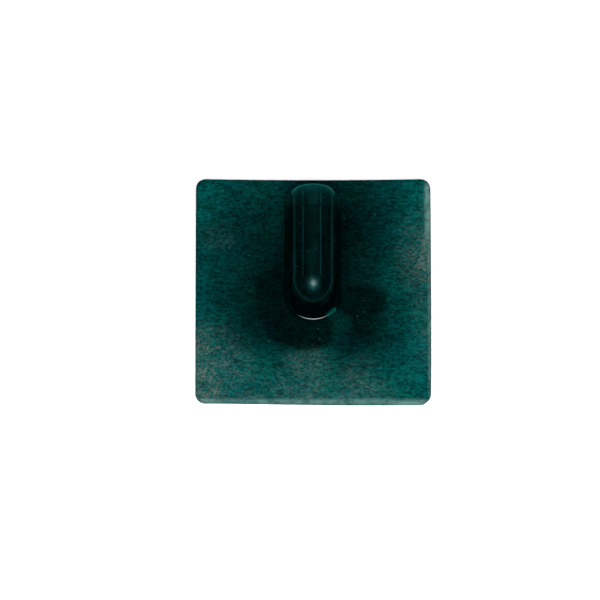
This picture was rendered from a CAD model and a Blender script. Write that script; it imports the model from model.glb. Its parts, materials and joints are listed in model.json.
# A plasterer's hand board: a 200 mm square plastic plate with a folding grip on a hinge.
# Metres, +Z up. The board lies flat with its working face down and its handle side up at
# z = 8 mm. The grip is folded flat along Y: ball end at the hinge pin, butt towards +Y (far).
import bpy, bmesh, math, json
from functools import cached_property
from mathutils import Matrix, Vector, noise


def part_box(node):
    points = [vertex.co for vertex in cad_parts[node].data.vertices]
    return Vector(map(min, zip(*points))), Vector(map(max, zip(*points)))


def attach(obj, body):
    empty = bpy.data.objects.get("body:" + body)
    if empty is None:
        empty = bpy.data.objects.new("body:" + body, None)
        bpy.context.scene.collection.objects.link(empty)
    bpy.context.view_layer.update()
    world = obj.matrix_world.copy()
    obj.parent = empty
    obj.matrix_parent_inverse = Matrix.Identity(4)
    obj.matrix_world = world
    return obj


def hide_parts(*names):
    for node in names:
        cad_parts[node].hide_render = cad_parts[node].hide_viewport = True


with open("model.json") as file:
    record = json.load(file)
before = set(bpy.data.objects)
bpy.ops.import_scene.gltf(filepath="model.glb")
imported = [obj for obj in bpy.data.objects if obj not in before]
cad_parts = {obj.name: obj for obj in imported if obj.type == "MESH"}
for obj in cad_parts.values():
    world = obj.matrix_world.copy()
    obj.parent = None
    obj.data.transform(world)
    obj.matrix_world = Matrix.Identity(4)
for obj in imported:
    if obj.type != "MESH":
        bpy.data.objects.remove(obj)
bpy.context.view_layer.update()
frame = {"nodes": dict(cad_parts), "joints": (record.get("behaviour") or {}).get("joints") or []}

cad_nodes = frame["nodes"]


# ------------------------------------------------------------------ node graphs
class Value:
    """An output in a node graph; arithmetic on it adds Math nodes."""
    def __init__(self, graph, socket):
        self.graph = graph
        self.socket = socket

    def __add__(self, other):
        return self.graph.math("ADD", self, other)

    def __radd__(self, other):
        return self.graph.math("ADD", other, self)

    def __sub__(self, other):
        return self.graph.math("SUBTRACT", self, other)

    def __rsub__(self, other):
        return self.graph.math("SUBTRACT", other, self)

    def __mul__(self, other):
        return self.graph.math("MULTIPLY", self, other)

    def clamped(self):
        """Makes the Math node that gives this value clamp it to 0..1."""
        self.socket.node.use_clamp = True
        return self

    def ramp(self, over, to=(0.0, 1.0), smooth=True):
        """Maps the range over, which may run backwards, onto the range to, clamped."""
        inputs = {"Value": self, "From Min": over[0], "From Max": over[1],
                  "To Min": to[0], "To Max": to[1]}
        kind = "SMOOTHSTEP" if smooth else "LINEAR"
        return self.graph.add("MapRange", inputs, interpolation_type=kind, clamp=True)


class Graph:
    """Builds a shader node tree. Colours are given as (r, g, b)."""
    def __init__(self, tree):
        self.tree = tree

    def add(self, kind, inputs={}, output=0, **properties):
        """Adds a node, sets its properties and inputs, and returns one of its outputs."""
        node = self.tree.nodes.new("ShaderNode" + kind)
        for name, setting in properties.items():
            setattr(node, name, setting)
        self.feed(node, inputs)
        return Value(self, node.outputs[output]) if node.outputs else node

    def feed(self, node, inputs):
        for key, value in inputs.items():
            socket = node.inputs[key]
            if isinstance(value, Value):
                self.tree.links.new(value.socket, socket)
            elif socket.type == "RGBA":
                socket.default_value = (*value, 1.0)
            else:
                socket.default_value = value

    @cached_property
    def object_coord(self):
        return self.add("TexCoord", output="Object")

    @cached_property
    def plain_mapping(self):
        return self.mapping()

    @cached_property
    def light_path(self):
        return self.add("LightPath").socket.node

    def ray(self, kind):
        """1 for rays of this kind, "Camera" or "Glossy"."""
        return Value(self, self.light_path.outputs[f"Is {kind} Ray"])

    def mapping(self, stretch=(1, 1, 1), shift=(0, 0, 0), turn=(0, 0, 0)):
        return self.add("Mapping", {0: self.object_coord, "Location": shift,
                                    "Rotation": turn, "Scale": stretch})

    def texture_vector(self, mapping):
        """A mapping of the texture's own, or the one the graph shares."""
        return self.mapping(**mapping) if mapping else self.plain_mapping

    def noise(self, scale, detail, roughness=0.55, distortion=0.0, **mapping):
        inputs = {"Vector": self.texture_vector(mapping), "Scale": scale, "Detail": detail,
                  "Roughness": roughness, "Distortion": distortion}
        return self.add("TexNoise", inputs, output="Fac")

    def voronoi(self, scale, **mapping):
        inputs = {"Vector": self.texture_vector(mapping), "Scale": scale}
        return self.add("TexVoronoi", inputs, output="Distance")

    def math(self, operation, first, second=0.0):
        return self.add("Math", {0: first, 1: second}, operation=operation)

    def length(self, vector):
        return self.add("VectorMath", {0: vector}, output="Value", operation="LENGTH")

    def mix(self, amount, low, high):
        """Colour low at amount 0, high at 1."""
        return self.add("Mix", {0: amount, 6: low, 7: high}, output=2, data_type="RGBA")

    def split(self, vector):
        node = self.add("SeparateXYZ", {0: vector}).socket.node
        return [Value(self, socket) for socket in node.outputs]

    def blob(self, x, y, radius_x, radius_y):
        """1 at (x, y), falling to 0 at the ellipse's rim, in the XY plane."""
        centred = self.mapping(shift=(-x / radius_x, -y / radius_y, 0),
                               stretch=(1 / radius_x, 1 / radius_y, 0))
        return self.length(centred).ramp(over=(0.0, 1.0), to=(1.0, 0.0))

    def bump(self, height, strength, distance):
        return self.add("Bump", {"Strength": strength, "Distance": distance, "Height": height})

    def set_surface(self, shader):
        self.surface = shader
        self.feed(self.output, {0: shader})

    def mix_surface(self, amount, shader):
        """Shows shader in place of the surface so far, by amount."""
        self.set_surface(self.add("MixShader", {0: amount, 1: self.surface, 2: shader}))

    def add_gloss(self, colour, strength, ior, roughness, normal):
        """Adds a reflection tinted by the plastic's own colour over the surface so far."""
        fresnel = self.add("Fresnel", {"IOR": ior, "Normal": normal})
        tint = self.mix(fresnel * strength, low=(0, 0, 0), high=colour)
        gloss = self.add("BsdfAnisotropic",
                         {"Color": tint, "Roughness": roughness, "Normal": normal})
        self.set_surface(self.add("AddShader", {0: self.surface, 1: gloss}))


def new_material(name):
    material = bpy.data.materials.new(name)
    material.use_nodes = True
    material.node_tree.nodes.clear()
    graph = Graph(material.node_tree)
    graph.output = graph.add("OutputMaterial")
    shader = graph.add("BsdfPrincipled")
    graph.principled = shader.socket.node
    graph.set_surface(shader)
    return material, graph


# ------------------------------------------------------------------ board plastic
# Blobs on the handle side. Columns: centre x, y, radius along x, y, amount.
LESS_RUBBED = (
    (0.046, 0.090, 0.070, 0.075, 0.38), (0.050, -0.046, 0.054, 0.046, 0.58),
    (0.095, -0.066, 0.045, 0.040, 0.42), (0.040, -0.090, 0.085, 0.034, 0.62),
    (-0.045, -0.040, 0.040, 0.030, 0.16), (0.034, 0.040, 0.045, 0.060, 0.12),
    (-0.075, 0.052, 0.040, 0.030, 0.10),
)
MAIN_STAIN = (-0.018, -0.026, 0.042, 0.038)     # at full amount
MORE_STAINS = (
    (0.038, -0.010, 0.036, 0.026, 0.85), (-0.037, 0.000, 0.024, 0.034, 0.60),
    (0.000, -0.040, 0.030, 0.020, 0.70),
)
DUST = (
    (-0.100, -0.078, 0.060, 0.064, 1.45),
    (0.100, 0.030, 0.036, 0.058, 0.80), (0.106, 0.074, 0.020, 0.045, 0.45),
    (0.104, -0.030, 0.026, 0.060, 0.35), (0.006, -0.078, 0.110, 0.030, 0.15),
    (-0.030, -0.101, 0.120, 0.014, 0.70), (-0.080, 0.048, 0.022, 0.016, 0.30),
    (-0.012, -0.086, 0.034, 0.022, 0.40), (-0.006, -0.062, 0.030, 0.020, 0.34),
    (0.042, -0.070, 0.022, 0.016, 0.22), (0.046, -0.088, 0.034, 0.018, 0.34),
)


def weighted_blobs(graph, table):
    return [graph.blob(*place) * amount for *place, amount in table]


def board_rub(graph, x, y, mottle):
    """How rubbed and light the handle side is: darkest round the hinge."""
    def squared(value, scale):
        scaled = value * scale
        return scaled * scaled

    # grows with distance from the hinge, divided by a reach to the sides, far and near edge
    rub = squared(x + 0.010, 1 / 0.105)
    rub = rub + squared(graph.math("MAXIMUM", y, 0.0), 1 / 0.140)
    rub = rub + squared(graph.math("MINIMUM", y, 0.0), 1 / 0.072)
    for blob in weighted_blobs(graph, LESS_RUBBED):
        rub = rub - blob
    # uneven by broad and by finer mottling
    cloud = graph.noise(scale=90.0, detail=3.0, roughness=0.6, stretch=(0.6, 1.0, 1.0))
    rub = rub * (1.0 + ((mottle - 0.5) * 1.5 + (cloud - 0.5) * 0.9))
    # smoky grime below and beside the round end of the base plate, with a cleaner spot in it
    stain = sum(weighted_blobs(graph, MORE_STAINS), graph.blob(*MAIN_STAIN))
    stain = stain - graph.blob(0.025, -0.032, 0.014, 0.018) * 0.80
    stain = (stain + (mottle - 0.5) * 0.55).ramp(over=(0.06, 0.50))
    rub = rub * (1.0 - stain * 0.96)
    rub = rub + graph.blob(0.025, -0.029, 0.012, 0.014) * 0.22
    return rub.ramp(over=(0.0, 1.15), smooth=False)


def board_plastic(graph, rub, grain_tone):
    """Dark and light ends of the grain, dull to rubbed, in a green and a blue cast."""
    broad = graph.noise(scale=34.0, detail=3.0, roughness=0.6, shift=(0.4, 0.9, 0))
    fine = graph.noise(scale=420.0, detail=2.0, roughness=0.6, shift=(0.1, 0.5, 0))
    blueness = broad.ramp(over=(0.40, 0.62)) * 0.55 + fine.ramp(over=(0.36, 0.64)) * 0.45
    dark_green = graph.mix(rub, low=(0.00005, 0.0014, 0.0013), high=(0.0001, 0.0215, 0.0180))
    dark_blue = graph.mix(rub, low=(0.00005, 0.0013, 0.0017), high=(0.0001, 0.0190, 0.0205))
    light_green = graph.mix(rub, low=(0.0002, 0.0066, 0.0060), high=(0.0010, 0.0850, 0.0720))
    light_blue = graph.mix(rub, low=(0.0002, 0.0060, 0.0074), high=(0.0010, 0.0760, 0.0800))
    return graph.mix(grain_tone, graph.mix(blueness, dark_green, dark_blue),
                     graph.mix(blueness, light_green, light_blue))


def board_dust(graph, base, grain_tone, by_side):
    """Dried dust: lower left, along the near edge and on the right, and small pale specks."""
    ragged = graph.noise(scale=55.0, detail=6.0, roughness=0.72, distortion=0.4,
                         stretch=(0.6, 1.0, 1.0), shift=(0.3, 0.1, 0))
    grit = graph.noise(scale=560.0, detail=3.0, roughness=0.72,
                       stretch=(0.75, 1.0, 1.0), shift=(0.2, 0, 0))
    first, *rest = weighted_blobs(graph, DUST)
    film = (sum(rest, first) * ragged.ramp(over=(0.36, 0.62), to=(0.12, 1.0))).clamped()
    film = by_side(film, ragged.ramp(over=(0.48, 0.70), to=(0.04, 0.45)))
    base = graph.mix(film * 0.28, low=base, high=(0.010, 0.115, 0.100))
    # grey crumbs, some of them pinkish
    crumbs = (film * grit.ramp(over=(0.44, 0.58))).clamped()
    pink = graph.noise(scale=300.0, detail=2.0, roughness=0.6, shift=(0.6, 0.3, 0))
    pink = pink.ramp(over=(0.45, 0.62))
    dust = graph.mix(grain_tone, low=(0.050, 0.072, 0.066), high=(0.125, 0.150, 0.138))
    dust = graph.mix(pink * 0.5, low=dust, high=(0.135, 0.098, 0.100))
    base = graph.mix(crumbs * 0.86, low=base, high=dust)
    specks = graph.voronoi(scale=190.0, shift=(1.1, 0.7, 0)).ramp(over=(0.085, 0.02))
    specks = specks * graph.noise(scale=75.0, detail=2.0).ramp(over=(0.50, 0.62))
    return graph.mix(specks * 0.80, low=base, high=(0.13, 0.19, 0.175))


def board_lips(graph, base, x, y):
    """Rubbed lips: near edge, right edge, most of all its upper end and the near right corner."""
    worn = graph.noise(scale=110.0, detail=4.0, roughness=0.65)
    worn = worn.ramp(over=(0.34, 0.62), to=(0.35, 1.0))
    near = y.ramp(over=(-0.0945, -0.0985)) * 0.62
    right = x.ramp(over=(0.0965, 0.0990)) * 0.42
    upper_right = x.ramp(over=(0.0935, 0.0970)) * y.ramp(over=(0.036, 0.062))
    upper_right = upper_right * y.ramp(over=(0.0990, 0.0900))
    lip = graph.math("MAXIMUM", graph.math("MAXIMUM", near, right), upper_right) * worn
    corner = graph.blob(0.082, -0.1010, 0.034, 0.0055) * 1.2
    lip = graph.math("MAXIMUM", lip, corner).clamped()
    return graph.mix(lip * 0.85, low=base, high=(0.120, 0.235, 0.215))


def board_material():
    """Matt dark teal plastic, scuffed."""
    material, graph = new_material("board_plastic_scuffed")
    x, y, z = graph.split(graph.object_coord)
    # moulded grain: specks with short streaks across the board
    grain = (
        graph.noise(scale=560.0, detail=2.0, roughness=0.60, stretch=(0.62, 1.0, 1.0)) * 0.52
        + graph.noise(scale=980.0, detail=1.0, roughness=0.5) * 0.26
        + graph.noise(scale=420.0, detail=2.0, roughness=0.6,
                      stretch=(0.22, 1.0, 1.0), shift=(0.7, 0.2, 0)) * 0.22)
    grain_tone = grain.ramp(over=(0.420, 0.590), smooth=False)
    mottle = graph.noise(scale=26.0, detail=5.0, roughness=0.62, distortion=0.3)
    handle_side = z.ramp(over=(0.0008, 0.0042))

    def by_side(handle, working):
        return handle * handle_side + working * (1.0 - handle_side)

    # the working face is evenly rubbed by the trowel
    even = (0.50 + (mottle - 0.5) * 1.1).clamped()
    rub = by_side(board_rub(graph, x, y, mottle), even)
    base = board_plastic(graph, rub, grain_tone)
    base = board_dust(graph, base, grain_tone, by_side)
    base = board_lips(graph, base, x, y)

    # fine leathery relief with scratches
    leather = graph.noise(scale=900.0, detail=4.0, roughness=0.7)
    scratches = graph.noise(scale=1400.0, detail=2.0, roughness=0.5,
                            stretch=(0.05, 1.0, 1.0), turn=(0, 0, 0.10))
    height = leather * 0.5 + grain * 0.7
    height = height + scratches.ramp(over=(0.30, 0.45), to=(0.0, 0.35)) * 1.0
    normal = graph.bump(height, strength=0.28, distance=0.00035)
    graph.feed(graph.principled, {
        "Base Color": base,
        "Specular IOR Level": 0.0,
        "Roughness": grain.ramp(over=(0.35, 0.65), to=(0.62, 0.50)),
        "Normal": normal,
    })
    graph.add_gloss(colour=(0.05, 1.0, 0.95), ior=1.45, normal=normal,
                    strength=rub.ramp(over=(0.0, 1.0), to=(0.05, 0.22)),
                    roughness=grain.ramp(over=(0.35, 0.65), to=(0.60, 0.46)))
    # mirrored in the grip's gloss the board is dimmer
    graph.mix_surface(graph.ray("Glossy") * 0.70, graph.add("BsdfDiffuse", {"Color": (0, 0, 0)}))
    return material


# ------------------------------------------------------------------ grip plastic
GRIP_IOR = 1.42


def grip_material(name, brightness=1.0, gloss=1.0, base_plate=False):
    """Glossy, very dark teal plastic. brightness and gloss scale its colour and reflections."""
    material, graph = new_material(name)
    y = graph.split(graph.object_coord)[1]
    lines = graph.noise(scale=900.0, detail=3.0, roughness=0.6, stretch=(1.0, 0.03, 1.0))
    bands = graph.noise(scale=260.0, detail=4.0, roughness=0.65, distortion=0.3,
                        stretch=(1.0, 0.10, 1.0))
    smudge = graph.noise(scale=75.0, detail=5.0, roughness=0.62, distortion=0.5)
    grain = graph.noise(scale=1150.0, detail=3.0, roughness=0.65)
    tone = bands * 0.34 + smudge * 0.28 + grain * 0.38

    base = graph.mix(tone.ramp(over=(0.40, 0.60)),
                     low=tuple(part * brightness for part in (0.00003, 0.0008, 0.0008)),
                     high=tuple(part * brightness for part in (0.0002, 0.0060, 0.0060)))
    # pale specks and edges show less on a darker piece
    marks = min(1.0, brightness * 2)
    specks = graph.voronoi(scale=300.0).ramp(over=(0.15, 0.05))
    specks = specks * graph.noise(scale=130.0, detail=2.0).ramp(over=(0.52, 0.62))
    base = graph.mix(specks * (0.60 * marks), low=base, high=(0.055, 0.095, 0.085))
    # paler and drier towards the butt
    dry = (y.ramp(over=(0.071, 0.083), to=(0.0, 0.95))
           + y.ramp(over=(0.058, 0.078), to=(0.0, 0.22)))
    dry = dry * tone.ramp(over=(0.36, 0.60), to=(0.4, 1.0))
    base = graph.mix(dry * min(1.0, brightness), low=base, high=(0.0020, 0.056, 0.056))
    # worn edges
    worn = graph.add("NewGeometry", output="Pointiness").ramp(over=(0.53, 0.66))
    broken = graph.noise(scale=220.0, detail=3.0).ramp(over=(0.35, 0.7), to=(0.2, 1.0))
    base = graph.mix(worn * broken * (0.30 * marks), low=base, high=(0.01, 0.05, 0.048))

    height = graph.noise(scale=70.0, detail=2.0) * 0.5 + lines * 0.06 + grain * 0.05
    normal = graph.bump(height, strength=0.16, distance=0.0005)
    # a sharp reflection under a faint blurred one
    graph.add_gloss(colour=(0.16, 1.0, 0.96), ior=GRIP_IOR, normal=normal,
                    strength=tone.ramp(over=(0.38, 0.62), to=(0.62 * gloss, 1.10 * gloss)),
                    roughness=smudge.ramp(over=(0.3, 0.7), to=(0.060, 0.110)))
    graph.add_gloss(colour=(0.08, 1.0, 0.95), ior=GRIP_IOR, normal=normal,
                    strength=0.20 * gloss, roughness=0.28)
    if base_plate:
        base = add_rubbed_rim(graph, base, y, grain, normal)
    else:
        # the ball end's crown is polished by handling
        crown = graph.blob(0.0004, -0.0072, 0.0050, 0.0050).ramp(over=(0.0, 0.9))
        uneven = grain.ramp(over=(0.35, 0.65), to=(0.7, 1.15))
        graph.add_gloss(colour=(1.0, 0.90, 0.88), ior=GRIP_IOR, normal=normal,
                        strength=crown * uneven * 1.15, roughness=0.20)
    graph.feed(graph.principled, {"Base Color": base, "Specular IOR Level": 0.0,
                                  "Roughness": 0.6})
    return material


def add_rubbed_rim(graph, base, y, grain, normal):
    """Polishes the base plate's round near end and returns base with a smear on its rim."""
    # rubbed bright by the hand that unfolds the grip, where the surface tilts
    near = graph.blob(0.0, -0.030, 0.0250, 0.0135).ramp(over=(0.05, 0.60))
    facing = graph.split(graph.add("NewGeometry", output="True Normal"))[2]
    graph.add_gloss(colour=(0.86, 1.0, 0.97), ior=GRIP_IOR, normal=normal,
                    strength=near * facing.ramp(over=(0.995, 0.955)) * 7.6, roughness=0.17)
    # a paler smear along the rim, right of the polished arc
    x = graph.split(graph.object_coord)[0]
    y_squared = graph.math("POWER", graph.math("ABSOLUTE", y + 0.0019), 2.0)
    ring = graph.math("SQRT", x * x + y_squared).ramp(over=(0.0215, 0.0245))
    smear = graph.blob(0.0160, -0.0205, 0.0080, 0.0070).ramp(over=(0.0, 0.55)) * ring
    smear = smear * grain.ramp(over=(0.35, 0.60), to=(0.5, 1.0))
    return graph.mix(smear, low=base, high=(0.0005, 0.060, 0.051))


# ------------------------------------------------------------------ metals and acetal
def metal_material(name, colour, roughness, dark=None):
    """Metal clouded with dark, which is the colour at 55 % unless given."""
    material, graph = new_material(name)
    brushing = graph.noise(scale=1500.0, detail=3.0, roughness=0.6, stretch=(1, 1, 1))
    clouds = graph.noise(scale=120.0, detail=4.0, roughness=0.6)
    dark = dark or tuple(part * 0.55 for part in colour)
    graph.feed(graph.principled, {
        "Base Color": graph.mix(clouds.ramp(over=(0.35, 0.7)), low=colour, high=dark),
        "Metallic": 1.0,
        "Roughness": brushing.ramp(over=(0.3, 0.7), to=(roughness * 0.8, roughness * 1.35)),
        "Normal": graph.bump(brushing, strength=0.25, distance=0.00008),
    })
    return material


def acetal_material():
    material, graph = new_material("natural_acetal")
    roughness = 0.38
    clouds = graph.noise(scale=260.0, detail=4.0, roughness=0.6)
    graph.feed(graph.principled, {
        "Base Color": graph.mix(clouds.ramp(over=(0.35, 0.65)),
                                low=(0.70, 0.69, 0.65), high=(0.80, 0.79, 0.75)),
        "Roughness": clouds.ramp(over=(0.3, 0.7), to=(roughness * 0.85, roughness * 1.1)),
        "Normal": graph.bump(graph.noise(scale=1800.0, detail=2.0),
                             strength=0.2, distance=0.0001),
    })
    return material


board_teal = board_material()
grip_teal = grip_material("grip_plastic_gloss")
base_teal = grip_material("base_plastic_gloss", brightness=0.32, gloss=0.20, base_plate=True)
steel = metal_material("zinc_plated_steel", colour=(0.55, 0.56, 0.57), roughness=0.30)
pin_lacquer = metal_material("pin_heads_teal_lacquer", colour=(0.003, 0.020, 0.020),
                             roughness=0.30, dark=(0.001, 0.010, 0.010))
spring_wire = metal_material("drawn_spring_wire", colour=(0.42, 0.42, 0.43), roughness=0.28)
brass = metal_material("turned_brass", colour=(0.78, 0.58, 0.27), roughness=0.24)
acetal = acetal_material()

NODE_MATERIALS = {
    "board": board_teal, "hinge_base": base_teal, "pivot_bush": brass, "base_inserts": brass,
    "base_screws": steel, "grip_body": grip_teal, "end_cap": grip_teal,
    "pivot_barrel": pin_lacquer, "pivot_screw": pin_lacquer, "thrust_washers": acetal,
    "detent_plunger": steel, "detent_spring": spring_wire, "spring_plug": brass,
}


def set_material(piece, material):
    piece.data.materials.clear()
    piece.data.materials.append(material)


for node_name, node_object in cad_nodes.items():
    set_material(node_object, NODE_MATERIALS[node_name])


# ------------------------------------------------------------------ mesh helpers
def new_object(name, data):
    piece = bpy.data.objects.new(name, data)
    bpy.context.scene.collection.objects.link(piece)
    return piece


def mesh_object(name, bm):
    mesh = bpy.data.meshes.new(name)
    bm.to_mesh(mesh)
    bm.free()
    return new_object(name, mesh)


def select_only(piece):
    bpy.ops.object.select_all(action="DESELECT")
    bpy.context.view_layer.objects.active = piece
    piece.select_set(True)


def apply_modifier(piece, modifier):
    select_only(piece)
    bpy.ops.object.modifier_apply(modifier=modifier.name)


def smooth(piece, degrees):
    select_only(piece)
    bpy.ops.object.shade_smooth_by_angle(angle=math.radians(degrees))


def finish_shell(shell, smooth_degrees, material, cad_name, body):
    """Shades the shell and puts it in place of a CAD piece."""
    smooth(shell, smooth_degrees)
    set_material(shell, material)
    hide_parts(cad_name)
    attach(shell, body)


def arc(centre_x, centre_y, radius, start, end, steps):
    """Points from start to end, in degrees."""
    angles = [math.radians(start + (end - start) * i / steps) for i in range(steps + 1)]
    return [(centre_x + radius * math.cos(angle), centre_y + radius * math.sin(angle))
            for angle in angles]


def straight(start, end, step):
    """Points from after start up to end, no further apart than step."""
    count = max(1, int(math.ceil(math.dist(start, end) / step)))
    return [(start[0] + (end[0] - start[0]) * i / count,
             start[1] + (end[1] - start[1]) * i / count) for i in range(1, count + 1)]


def lathe(name, profile, axis, segments=224, closed=False):
    """Revolves profile, points of (distance from the pin along axis, radius), about axis."""
    bm = bmesh.new()
    axis = Vector(axis)
    side = Vector((1, 0, 0)) if abs(axis.x) < 0.5 else Vector((0, 1, 0))
    other_side = axis.cross(side)
    rings = []
    for distance, radius in profile:
        centre = PIN + axis * distance
        if radius < 1e-7:
            rings.append([bm.verts.new(centre)])
            continue
        angles = [2 * math.pi * k / segments for k in range(segments)]
        rings.append([bm.verts.new(centre + (side * math.cos(angle)
                                             + other_side * math.sin(angle)) * radius)
                      for angle in angles])
    pairs = list(zip(rings, rings[1:]))
    if closed:
        pairs.append((rings[-1], rings[0]))
    for a, b in pairs:
        if len(a) == 1 and len(b) == 1:
            continue
        for k in range(segments):
            following = (k + 1) % segments
            if len(a) == 1:
                bm.faces.new((a[0], b[k], b[following]))
            elif len(b) == 1:
                bm.faces.new((a[following], a[k], b[0]))
            else:
                bm.faces.new((a[following], a[k], b[k], b[following]))
    bmesh.ops.recalc_face_normals(bm, faces=bm.faces)
    return mesh_object(name, bm)


def prism(name, outline, half_width):
    """Closed prism along X: outline in the (y, z) plane relative to the pin."""
    bm = bmesh.new()
    left, right = [[bm.verts.new((x, PIN.y + y, PIN.z + z)) for y, z in outline]
                   for x in (-half_width, half_width)]
    bm.faces.new(left)
    bm.faces.new(list(reversed(right)))
    for i in range(len(outline)):
        j = (i + 1) % len(outline)
        bm.faces.new((left[j], left[i], right[i], right[j]))
    bmesh.ops.recalc_face_normals(bm, faces=bm.faces)
    return mesh_object(name, bm)


def cut(piece, cutter):
    modifier = piece.modifiers.new("cut", "BOOLEAN")
    modifier.operation = "DIFFERENCE"
    modifier.solver = "EXACT"
    modifier.object = cutter
    apply_modifier(piece, modifier)
    bpy.data.objects.remove(cutter)


# ------------------------------------------------------------------ board
HALF_BOARD = 0.1
BOARD_TOP = 0.008
VOXEL = 0.0008
FAR_HOLLOW = 0.0011         # the far edge's middle lies this much nearer
RIGHT_SWELL = 0.00055       # the side edges' middles lie this much further out
LEFT_SWELL = 0.00010
NEAR_RISE = 0.0015          # the near edge's left end lies this much further in
CORNER_REACH = 0.012        # wear at the near right corner
CORNER_WEAR = (-0.0014, 0.0010)


def unit(value):
    return max(0.0, min(1.0, value))


def board_point(x, y, z):
    """Moves a point of the exact plate to its softly uneven place."""
    point = Vector((x, y, z))
    far = unit((y - 0.075) / 0.025)
    side = unit((abs(x) - 0.08) / 0.02)
    dx = (RIGHT_SWELL if x > 0 else -LEFT_SWELL) * side * (1 - (y / HALF_BOARD) ** 4)
    dy = -FAR_HOLLOW * (1 - (x / HALF_BOARD) ** 2) * far
    if y < 0:
        dy += NEAR_RISE * unit((-y - 0.06) / 0.04) * unit((0.02 - x) / 0.10)
    to_corner = (Vector((x, y)) - Vector((HALF_BOARD, -HALF_BOARD))).length
    wear = max(0.0, 1 - to_corner / CORNER_REACH)
    dx += CORNER_WEAR[0] * wear * wear
    dy += CORNER_WEAR[1] * wear * wear
    # shallow dents on the handle side, half as deep below its top face
    dz = 0.0
    if z > 0.004:
        dent = 0.00010 * noise.noise(point * 45) + 0.00004 * noise.noise(point * 160)
        dz = min(dent * (1.0 if z > 0.0075 else 0.5), 0.0)
    # inward ripples along the rim
    rim = side + unit((abs(y) - 0.085) / 0.015)
    ripple = abs(noise.noise(point * 120) * 0.00012 * min(1.0, rim))
    return (x + dx - math.copysign(ripple, x) * side,
            y + dy - math.copysign(ripple, y) * unit((abs(y) - 0.09) / 0.01),
            z + dz)


def make_board():
    """The CAD plate with a fine even mesh, softly uneven like moulded plastic."""
    mesh = cad_nodes["board"].data.copy()
    shell = new_object("board_shell", mesh)
    bm = bmesh.new()
    bm.from_mesh(mesh)
    bmesh.ops.remove_doubles(bm, verts=bm.verts, dist=1e-7)
    bm.to_mesh(mesh)
    bm.free()
    target = new_object("board_target", mesh.copy())
    select_only(shell)
    mesh.remesh_voxel_size = VOXEL
    mesh.remesh_voxel_adaptivity = 0.0
    bpy.ops.object.voxel_remesh()
    # pull the remeshed surface back onto the exact shape
    wrap = shell.modifiers.new("sw", "SHRINKWRAP")
    wrap.target = target
    wrap.wrap_method = "NEAREST_SURFACEPOINT"
    apply_modifier(shell, wrap)
    bpy.data.objects.remove(target)
    for vertex in shell.data.vertices:
        vertex.co = board_point(*vertex.co)
    finish_shell(shell, 50, board_teal, "board", "board_body")


make_board()

# ------------------------------------------------------------------ grip and end cap
# Profile distances run along +Y from the pin.
joint = next(j for j in frame["joints"] if j["name"] == "handle_fold")
PIN = Vector(joint["pos_m"])
grip_low, grip_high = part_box("grip_body")
cap_low, cap_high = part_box("end_cap")
GRIP_RADIUS = (grip_high.x - grip_low.x) / 2
CAP_RADIUS = (cap_high.x - cap_low.x) / 2       # at its widest
SEAM = grip_high.y                              # between grip and cap
BUTT = cap_high.y
EDGE_ROUND = 0.00018                            # rounding on both sides of the seam
SHANK_ROOM = 0.0054                             # from the pin's axis to the slot's flat sides
EYE_ROOM = 0.0108                               # radius of the slot round the lug's eye
SLOT_HALF_WIDTH = 0.0066
# how far the ball end would reach past the pin without its slot
REACH = (PIN.y - grip_low.y) / math.sqrt(1 - (SHANK_ROOM / GRIP_RADIUS) ** 2)


def grip_profile():
    hollow_radius = 0.015
    partition = 0.042       # where the hollow ends
    bore_radius, bore_end_radius, bore_end = 0.0042, 0.00305, 0.0085
    ball_steps = 72
    points = [(-REACH, 0.0)]
    for i in range(1, ball_steps + 1):
        angle = math.radians(i * 90 / ball_steps)
        points.append((-REACH * math.cos(angle), GRIP_RADIUS * math.sin(angle)))
    edge = SEAM - EDGE_ROUND
    points += straight((0.0, GRIP_RADIUS), (edge, GRIP_RADIUS), 0.0016)
    points += arc(edge, GRIP_RADIUS - EDGE_ROUND, EDGE_ROUND, 90, 0, 5)[1:]
    # chamfered mouth, hollow, partition and stepped bore
    mouth = (SEAM - 0.0004, hollow_radius)
    points += [(SEAM, hollow_radius + 0.0004), mouth]
    points += straight(mouth, (partition + 0.001, hollow_radius), 0.004)
    points += arc(partition + 0.001, hollow_radius - 0.001, 0.001, 90, 180, 4)[1:]
    points += [(partition, bore_radius), (partition - 0.008, bore_radius),
               (partition - 0.0085, bore_end_radius), (bore_end, bore_end_radius),
               (bore_end, 0.0)]
    return points


def close_slivers(piece):
    """Closes the slivers the cuts leave where facets meet the bore."""
    bm = bmesh.new()
    bm.from_mesh(piece.data)
    bmesh.ops.remove_doubles(bm, verts=bm.verts, dist=2e-6)
    bmesh.ops.dissolve_degenerate(bm, edges=bm.edges, dist=2e-6)
    large = [face for face in bm.faces if len(face.verts) > 4]
    bmesh.ops.triangulate(bm, faces=large, ngon_method="EAR_CLIP")
    bmesh.ops.dissolve_degenerate(bm, edges=bm.edges, dist=2e-6)
    gaps = [edge for edge in bm.edges if edge.is_boundary]
    if gaps:
        bmesh.ops.holes_fill(bm, edges=gaps, sides=0)
    bmesh.ops.triangulate(bm, faces=bm.faces)
    bmesh.ops.recalc_face_normals(bm, faces=bm.faces)
    bm.to_mesh(piece.data)
    bm.free()


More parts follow.
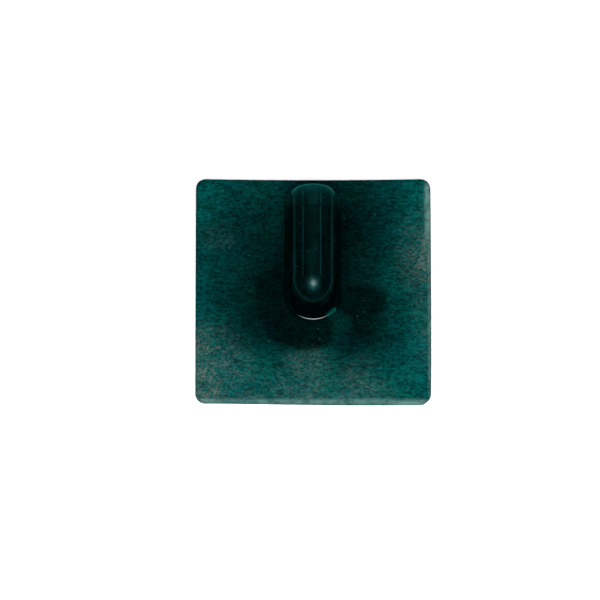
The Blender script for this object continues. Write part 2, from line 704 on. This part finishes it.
def make_grip():
    shell = lathe("grip_shell", grip_profile(), (0, 1, 0))
    bm = bmesh.new()
    bm.from_mesh(shell.data)
    bmesh.ops.remove_doubles(bm, verts=bm.verts, dist=1e-8)
    bmesh.ops.recalc_face_normals(bm, faces=bm.faces)
    bm.to_mesh(shell.data)
    bm.free()
    # slot for the lug: room round the eye, and the quarter the shank sweeps
    outside = -0.03
    turn = math.degrees(math.acos(SHANK_ROOM / EYE_ROOM))
    slot = [(SHANK_ROOM, outside)] + arc(0, 0, EYE_ROOM, -turn, 90 + turn, 48)
    slot += [(outside, SHANK_ROOM), (outside, outside)]
    cut(shell, prism("slot_cutter", slot, SLOT_HALF_WIDTH))
    # pin hole right through, and a chamfered recess for the pin's head on each side
    hole = [(-0.03, 0.0), (-0.03, 0.00405), (0.03, 0.00405), (0.03, 0.0)]
    cut(shell, lathe("hole_cutter", hole, (1, 0, 0), segments=96))
    recess = [(0.0166, 0.0), (0.0166, 0.0072), (0.0170, 0.0076), (0.03, 0.0076), (0.03, 0.0)]
    for side in (-1, 1):
        cut(shell, lathe("recess_cutter", recess, (side, 0, 0), segments=128))
    close_slivers(shell)
    finish_shell(shell, 30, grip_teal, "grip_body", "handle")


def make_cap():
    start = SEAM + 0.00002
    plug_radius, ridge_radius, plug_inner = 0.01495, 0.0153, 0.0126
    shoulder, crown = 0.0090, 0.0012        # shoulder radius, height of the crowned end
    # plug inside the grip, with a raised ring
    points = [(start - 0.012, plug_inner), (start - 0.012, 0.01435),
              (start - 0.0114, plug_radius), (start - 0.0099, plug_radius),
              (start - 0.0094, ridge_radius), (start - 0.0086, ridge_radius),
              (start - 0.0081, plug_radius), (start, plug_radius),
              (start, GRIP_RADIUS - EDGE_ROUND)]
    barrel = start + EDGE_ROUND
    points += arc(barrel, GRIP_RADIUS - EDGE_ROUND, EDGE_ROUND, 180, 90, 5)[1:]
    # barrel with a slight flare
    barrel_end = BUTT - crown - shoulder
    flare = CAP_RADIUS - GRIP_RADIUS
    barrel_steps = 14
    for i in range(1, barrel_steps + 1):
        t = i / barrel_steps
        points.append((barrel + (barrel_end - barrel) * t,
                       GRIP_RADIUS + flare * (3 * t * t - 2 * t ** 3)))
    points += arc(barrel_end, CAP_RADIUS - shoulder, shoulder, 90, 8, 22)[1:]
    # crowned end
    rim_y, rim_radius = points[-1]
    crown_steps = 16
    for i in range(1, crown_steps):
        t = i / crown_steps
        points.append((rim_y + (BUTT - rim_y) * (1 - (1 - t) ** 2), rim_radius * (1 - t)))
    # butt centre, then the inside
    points += [(BUTT, 0.0), (BUTT - 0.004, 0.0), (BUTT - 0.004, 0.0106),
               (BUTT - 0.006, plug_inner)]
    shell = lathe("end_cap_shell", points, (0, 1, 0), closed=True)
    finish_shell(shell, 30, grip_teal, "end_cap", "handle")


make_grip()
make_cap()

for node_name in ("hinge_base", "pivot_barrel", "pivot_screw", "base_screws", "detent_plunger",
                  "thrust_washers", "pivot_bush", "detent_spring", "spring_plug",
                  "base_inserts"):
    smooth(cad_nodes[node_name], 32)


# ------------------------------------------------------------------ floor
def make_floor():
    bm = bmesh.new()
    bmesh.ops.create_grid(bm, x_segments=8, y_segments=8, size=6.0)
    floor = mesh_object("floor", bm)
    floor.location.z = -0.0004
    material, graph = new_material("pale_floor")
    graph.feed(graph.principled, {
        "Base Color": (0.92, 0.92, 0.92),
        "Roughness": 0.9,
        "Specular IOR Level": 0.0,
        "Emission Color": (1, 1, 1),
        # lifted only where the camera sees it directly
        "Emission Strength": graph.ray("Camera").ramp(over=(0.0, 1.0), to=(0.0, 0.42),
                                                      smooth=False),
    })
    # mirrored in the gloss, the floor is dimmer and fades outwards
    glow = graph.blob(0.0, 0.0, 0.52, 0.52).ramp(over=(0.02, 0.30), to=(0.0, 0.24))
    graph.mix_surface(graph.ray("Glossy"), graph.add("Emission", {"Strength": glow}))
    floor.data.materials.append(material)


make_floor()


# ------------------------------------------------------------------ lights
def look_at(piece, target):
    direction = Vector(target) - piece.location
    piece.rotation_euler = direction.to_track_quat("-Z", "Y").to_euler()


def area_light(name, location, target, size, energy, size_y=None, softness=None,
               diffuse=True, gloss=True):
    """Disk, or rectangle given size_y. softness: fades to the rim as (1 - r) to that power."""
    light = bpy.data.lights.new(name, "AREA")
    light.shape = "RECTANGLE" if size_y else "DISK"
    light.size = size
    if size_y:
        light.size_y = size_y
    light.energy = energy
    if softness:
        light.use_nodes = True
        graph = Graph(light.node_tree)
        place = graph.add("NewGeometry", output="Parametric")
        offset = graph.add("VectorMath", {0: place, 1: (0.5, 0.5, 0.0)}, operation="SUBTRACT")
        fade = graph.length(offset).ramp(over=(0.0, 0.5), to=(1.0, 0.0), smooth=False)
        emission = next(n for n in light.node_tree.nodes if n.type == "EMISSION")
        graph.feed(emission, {"Strength": graph.math("POWER", fade, softness)})
    lamp = bpy.data.objects.new(name, light)
    lamp.location = location
    look_at(lamp, target)
    lamp.visible_camera = False
    lamp.visible_diffuse = diffuse
    lamp.visible_glossy = gloss
    bpy.context.scene.collection.objects.link(lamp)


# broad soft light for the matt board; the gloss sees its own graded lights instead
BOARD_AIM = (0, 0, 0.03)
area_light("front_fill", location=(0.02, -0.70, 1.38), target=BOARD_AIM,
           size=1.35, energy=36, gloss=False)
area_light("key_right", location=(0.55, 1.10, 1.45), target=BOARD_AIM,
           size=0.30, energy=6, gloss=False)
# short strips whose reflections fade along the grip
area_light("strip_left", location=(-1.056, 0.460, 0.889), target=(-0.0086, 0.055, 0.053),
           size=0.50, size_y=0.11, energy=0.28, softness=0.9, diffuse=False)
area_light("strip_right", location=(0.800, 0.475, 1.130), target=(0.0070, 0.055, 0.054),
           size=0.50, size_y=0.12, energy=0.30, softness=0.9, diffuse=False)


def make_world():
    """A studio that in the gloss is dark but for one graded light over the near side."""
    glow_direction = Vector((0.012, -0.350, 0.930)).normalized()
    glow_reach = math.radians(64)
    world = bpy.data.worlds.new("studio")
    world.use_nodes = True
    graph = Graph(world.node_tree)
    direction = graph.add("TexCoord", output="Generated")
    cosine = graph.add("VectorMath", {0: direction, 1: glow_direction}, output="Value",
                       operation="DOT_PRODUCT")
    angle = graph.math("ARCCOSINE", graph.math("MINIMUM", cosine, 0.99999))
    fade = angle.ramp(over=(0.0, glow_reach), to=(1.0, 0.0), smooth=False)
    # peak 5.4 over a faint floor of 0.010
    glossy = graph.math("POWER", fade, 3.7) * 5.4 + 0.010
    ambient = graph.ray("Camera").ramp(over=(0.0, 1.0), to=(0.05, 0.95), smooth=False)
    strength = graph.add("Mix", {0: graph.ray("Glossy"), 2: ambient, 3: glossy},
                         data_type="FLOAT")
    graph.feed(world.node_tree.nodes["Background"], {0: (1, 1, 1), 1: strength})
    bpy.context.scene.world = world


make_world()


# ------------------------------------------------------------------ camera
def make_camera():
    elevation = math.radians(73.2)
    distance = 9.0
    view_width = 0.5106                             # across the picture, at the aim
    offset_left, offset_down = 0.0111481, 0.0082547     # of the aim from the top's centre
    view_up = Vector((0, math.sin(elevation), math.cos(elevation)))
    aim = Vector((-offset_left, 0, BOARD_TOP)) - view_up * offset_down
    data = bpy.data.cameras.new("camera")
    data.sensor_width = 36.0
    data.lens = data.sensor_width * distance / view_width
    data.clip_end = 100.0
    camera = bpy.data.objects.new("camera", data)
    camera.location = aim + Vector((0, -math.cos(elevation), math.sin(elevation))) * distance
    look_at(camera, aim)
    bpy.context.scene.collection.objects.link(camera)
    bpy.context.scene.camera = camera


make_camera()
view = bpy.context.scene.view_settings
view.view_transform = "Standard"
view.look = "None"
view.exposure = 0.0

bpy.context.view_layer.update()
